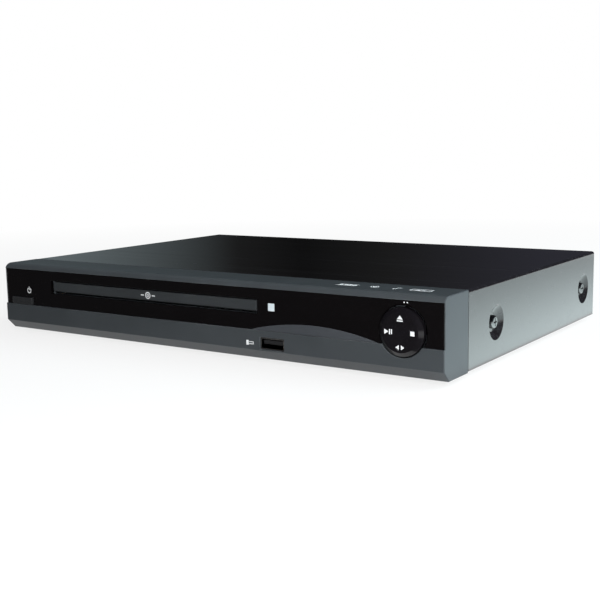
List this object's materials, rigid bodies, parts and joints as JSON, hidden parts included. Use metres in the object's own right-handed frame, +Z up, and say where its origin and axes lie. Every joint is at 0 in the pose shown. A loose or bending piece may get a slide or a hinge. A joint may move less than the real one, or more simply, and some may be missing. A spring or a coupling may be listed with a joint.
{
  "type": "disc player",
  "caption": "Low, wide steel-cased disc player with a motorised tray, gloss front panel, round rocker key and rear sockets.",
  "frame": {"origin": "on the floor, under the middle of the whole part's box", "axes": "+X to the right seen from the front, +Y from the front to the back, +Z up"},
  "size_m": [0.27, 0.199, 0.039],
  "materials": {
    "cover_paint": "satin",
    "galvanised_steel": "satin",
    "screw_steel": "satin",
    "bezel_plastic": "satin",
    "panel_gloss": "gloss",
    "accent_plastic": "satin",
    "lens_white": "gloss",
    "key_plastic": "gloss",
    "door_plastic": "satin",
    "tray_plastic": "matte",
    "frame_plastic": "matte",
    "gear_plastic": "satin",
    "foot_rubber": "matte",
    "board_laminate": "satin",
    "supply_laminate": "satin",
    "black_plastic": "matte",
    "chrome_shell": "gloss",
    "brass_pin": "satin",
    "heat_aluminium": "satin",
    "can_sleeve": "gloss",
    "ring_yellow": "gloss",
    "ring_white": "gloss",
    "ring_red": "gloss",
    "ferrite_tape": "satin",
    "ribbon_film": "satin",
    "optical_glass": "gloss"
  },
  "bodies": {
    "case": {"base_pan": "galvanised_steel", "top_cover": "cover_paint", "feet": "foot_rubber", "cover_screws": "screw_steel", "internal_screws": "galvanised_steel", "front_bezel": "bezel_plastic", "window_panel": "panel_gloss", "accent_arc": "accent_plastic", "status_lens": "lens_white", "power_switch": "black_plastic", "front_board": "board_laminate", "tact_switches": "black_plastic", "display_module": "black_plastic", "remote_receiver": "black_plastic", "usb_shell": "chrome_shell", "socket_tongues": "black_plastic", "ribbon_cable": "ribbon_film", "main_board": "board_laminate", "decoder_chip": "black_plastic", "heat_sink": "heat_aluminium", "capacitors": "can_sleeve", "hdmi_shell": "chrome_shell", "jack_housing": "black_plastic", "jack_shells": "chrome_shell", "video_ring": "ring_yellow", "left_ring": "ring_white", "right_ring": "ring_red", "supply_board": "supply_laminate", "transformer": "ferrite_tape", "mains_inlet": "black_plastic", "inlet_pins": "brass_pin", "drive_belt": "foot_rubber", "loading_motor": "galvanised_steel", "loader_frame": "frame_plastic", "clamp_bridge": "galvanised_steel"},
    "tray_unit": {"tray": "tray_plastic", "tray_door": "door_plastic"},
    "tray_gear_unit": {"tray_gear": "gear_plastic"},
    "pulley_gear_unit": {"pulley_gear": "gear_plastic"},
    "motor_pulley_unit": {"motor_pulley": "gear_plastic"},
    "cam_unit": {"cam_slider": "gear_plastic"},
    "traverse_unit": {"lift_frame": "frame_plastic", "traverse_plate": "galvanised_steel", "dampers": "foot_rubber", "damper_screws": "galvanised_steel", "spindle_motor": "galvanised_steel", "guide_rods": "chrome_shell", "rod_clips": "gear_plastic", "sled_motor": "galvanised_steel"},
    "turntable_unit": {"turntable": "frame_plastic"},
    "lead_screw_unit": {"lead_screw": "chrome_shell"},
    "pickup_unit": {"pickup_body": "heat_aluminium"},
    "lens_unit": {"lens_holder": "black_plastic", "objective_lens": "optical_glass"},
    "clamp_unit": {"clamp_puck": "gear_plastic", "clamp_yoke": "galvanised_steel"},
    "power_key": {"power_button": "key_plastic", "switch_plunger": "gear_plastic"},
    "gimbal_unit": {"rocker_gimbal": "gear_plastic"},
    "rocker_unit": {"control_disc": "key_plastic"}
  },
  "joints": [
    {"name": "tray_slide", "type": "slide", "parent": "case", "child": "tray_unit", "axis": [0, -1, 0], "range_m": [0, 0.126]},
    {"name": "tray_gear_spin", "type": "hinge", "parent": "case", "child": "tray_gear_unit", "pos_m": [-0.0846, -0.0639, 0.0145], "axis": [0, 0, 1], "continuous": true},
    {"name": "pulley_gear_spin", "type": "hinge", "parent": "case", "child": "pulley_gear_unit", "pos_m": [-0.0662, -0.0639, 0.0145], "axis": [0, 0, 1], "continuous": true},
    {"name": "motor_pulley_spin", "type": "hinge", "parent": "case", "child": "motor_pulley_unit", "pos_m": [-0.0078, -0.0639, 0.019], "axis": [0, 0, 1], "continuous": true},
    {"name": "traverse_tilt", "type": "hinge", "parent": "case", "child": "traverse_unit", "pos_m": [-0.0298, 0.0633, 0.0129], "axis": [1, 0, 0], "range_deg": [0, 3.2]},
    {"name": "cam_slide", "type": "slide", "parent": "case", "child": "cam_unit", "axis": [1, 0, 0], "range_m": [0, 0.009]},
    {"name": "turntable_spin", "type": "hinge", "parent": "traverse_unit", "child": "turntable_unit", "pos_m": [-0.0298, -0.0259, 0.031], "axis": [0, 0, 1], "continuous": true},
    {"name": "pickup_slide", "type": "slide", "parent": "traverse_unit", "child": "pickup_unit", "axis": [0, 1, 0], "range_m": [0, 0.035]},
    {"name": "lead_screw_spin", "type": "hinge", "parent": "traverse_unit", "child": "lead_screw_unit", "pos_m": [-0.0698, -0.0097, 0.0194], "axis": [0, 1, 0], "continuous": true},
    {"name": "lens_focus", "type": "slide", "parent": "pickup_unit", "child": "lens_unit", "axis": [0, 0, 1], "range_m": [-0.0005, 0.0005], "stiffness_N_per_m": 200},
    {"name": "clamp_spin", "type": "hinge", "parent": "case", "child": "clamp_unit", "pos_m": [-0.0298, -0.0259, 0.0363], "axis": [0, 0, 1], "continuous": true},
    {"name": "power_press", "type": "slide", "parent": "case", "child": "power_key", "axis": [0, 1, 0], "range_m": [0, 0.003], "stiffness_N_per_m": 300},
    {"name": "rocker_yaw", "type": "hinge", "parent": "case", "child": "gimbal_unit", "pos_m": [0.1152, -0.0895, 0.0228], "axis": [0, 0, 1], "range_deg": [-2.5, 2.5], "stiffness_Nm_per_rad": 0.08},
    {"name": "rocker_pitch", "type": "hinge", "parent": "gimbal_unit", "child": "rocker_unit", "pos_m": [0.1152, -0.0895, 0.0228], "axis": [1, 0, 0], "range_deg": [-2.5, 2.5], "stiffness_Nm_per_rad": 0.08}
  ],
  "couplings": [
    {"joint": "tray_gear_spin", "follows": "tray_slide", "rad_per_m": 138.89},
    {"joint": "pulley_gear_spin", "follows": "tray_slide", "rad_per_m": -317.46},
    {"joint": "motor_pulley_spin", "follows": "tray_slide", "rad_per_m": -952.38},
    {"joint": "cam_slide", "follows": "traverse_tilt", "m_per_rad": 0.16114},
    {"joint": "lead_screw_spin", "follows": "pickup_slide", "rad_per_m": 2094.4}
  ]
}
